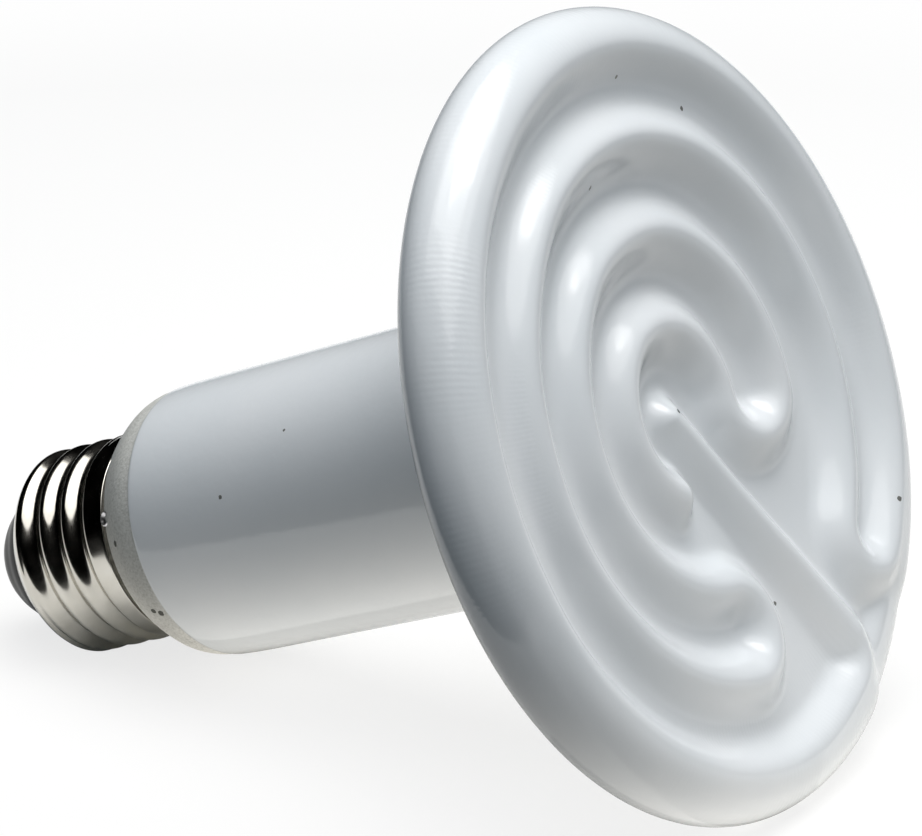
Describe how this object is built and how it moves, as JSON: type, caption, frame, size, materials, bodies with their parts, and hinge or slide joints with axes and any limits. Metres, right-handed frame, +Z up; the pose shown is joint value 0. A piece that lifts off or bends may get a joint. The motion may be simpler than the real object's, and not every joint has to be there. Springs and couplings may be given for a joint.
{
  "type": "ceramic heat emitter",
  "caption": "Glazed ceramic heat emitter: a round disc with a raised labyrinth ridge on its face, a hollow neck and a screw cap, lying on its rim and cap.",
  "frame": {"origin": "middle of the emitter's footprint, on the plane it lies on", "axes": "+X is the emitter's own axis seen from above, from the cap to the disc's face, which points up by about 21 degrees; +Z is up; +Y is to the right as one faces the disc"},
  "size_m": [0.1159, 0.0968, 0.0907],
  "materials": {
    "white_glaze": "glossy white glaze over fired stoneware",
    "coil_alloy": "oxidised resistance wire",
    "lead_nickel": "dull nickel wire",
    "sleeve_ceramic": "unglazed ceramic",
    "capping_cement": "rough grey cement",
    "bright_nickel": "bright nickel plate on brass",
    "black_glass": "polished opaque black glass",
    "contact_brass": "pressed brass",
    "solder": "dull tin solder"
  },
  "bodies": {
    "root": {"ceramic_body": "white_glaze", "heating_coil": "coil_alloy", "contact_lead": "lead_nickel", "side_lead": "lead_nickel", "contact_lead_sleeve": "sleeve_ceramic", "side_lead_sleeve": "sleeve_ceramic", "cement_ring": "capping_cement", "screw_shell": "bright_nickel", "glass_insulator": "black_glass", "centre_contact": "contact_brass", "contact_solder": "solder", "side_solder": "solder"}
  },
  "joints": []
}
